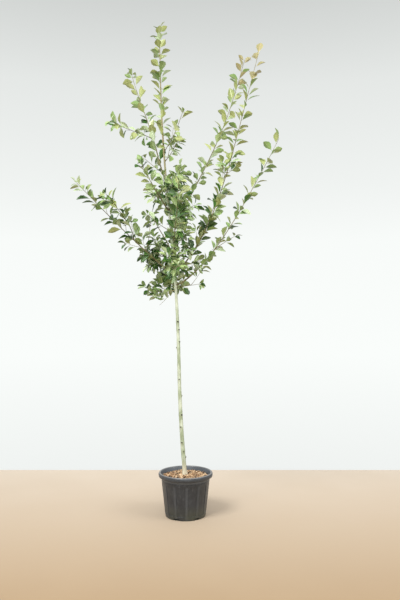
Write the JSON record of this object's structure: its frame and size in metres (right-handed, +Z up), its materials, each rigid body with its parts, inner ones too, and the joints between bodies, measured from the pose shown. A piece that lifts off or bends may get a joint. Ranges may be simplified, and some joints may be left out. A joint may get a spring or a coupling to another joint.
{
  "type": "young lavalle hawthorn tree in a nursery pot",
  "caption": "Young grafted hawthorn with a straight clear stem and an open, upright leafy crown of long shoots, standing in a round dark nursery pot filled with bark mulch.",
  "frame": {"origin": "centre of the pot's flat underside, on the ground", "axes": "+Z up along the stem, +X to the right and +Y to the back as the tree is seen in the picture"},
  "size_m": [1.6169, 1.214, 3.7671],
  "materials": {
    "pot": "worn matt injection moulding",
    "bark_mulch": "loose damp bark pieces",
    "trunk_bark": "smooth pale green bark",
    "twig_bark": "smooth brown bark",
    "foliage": "glossy leaf"
  },
  "bodies": {
    "root": {"pot": "pot", "bark_mulch": "bark_mulch", "trunk": "trunk_bark", "bough_left_low": "twig_bark", "bough_right_low": "twig_bark", "bough_right_outer": "twig_bark", "bough_right_inner": "twig_bark", "bough_left_high": "twig_bark", "bough_back_left": "twig_bark", "bough_front_left": "twig_bark", "bough_back": "twig_bark", "bough_front": "twig_bark", "foliage_left_low": "foliage", "foliage_right_low": "foliage", "foliage_right_outer": "foliage", "foliage_right_inner": "foliage", "foliage_left_high": "foliage", "foliage_back_left": "foliage", "foliage_front_left": "foliage", "foliage_back": "foliage", "foliage_front": "foliage", "foliage_top_right": "foliage", "foliage_leader": "foliage", "foliage_inner_1": "foliage", "foliage_inner_2": "foliage", "foliage_inner_3": "foliage", "foliage_inner_4": "foliage", "foliage_inner_5": "foliage", "foliage_inner_6": "foliage", "foliage_inner_7": "foliage", "foliage_inner_8": "foliage", "foliage_inner_9": "foliage", "foliage_inner_10": "foliage", "foliage_inner_11": "foliage", "foliage_inner_12": "foliage", "foliage_inner_13": "foliage", "foliage_inner_14": "foliage", "foliage_inner_15": "foliage"}
  },
  "joints": []
}
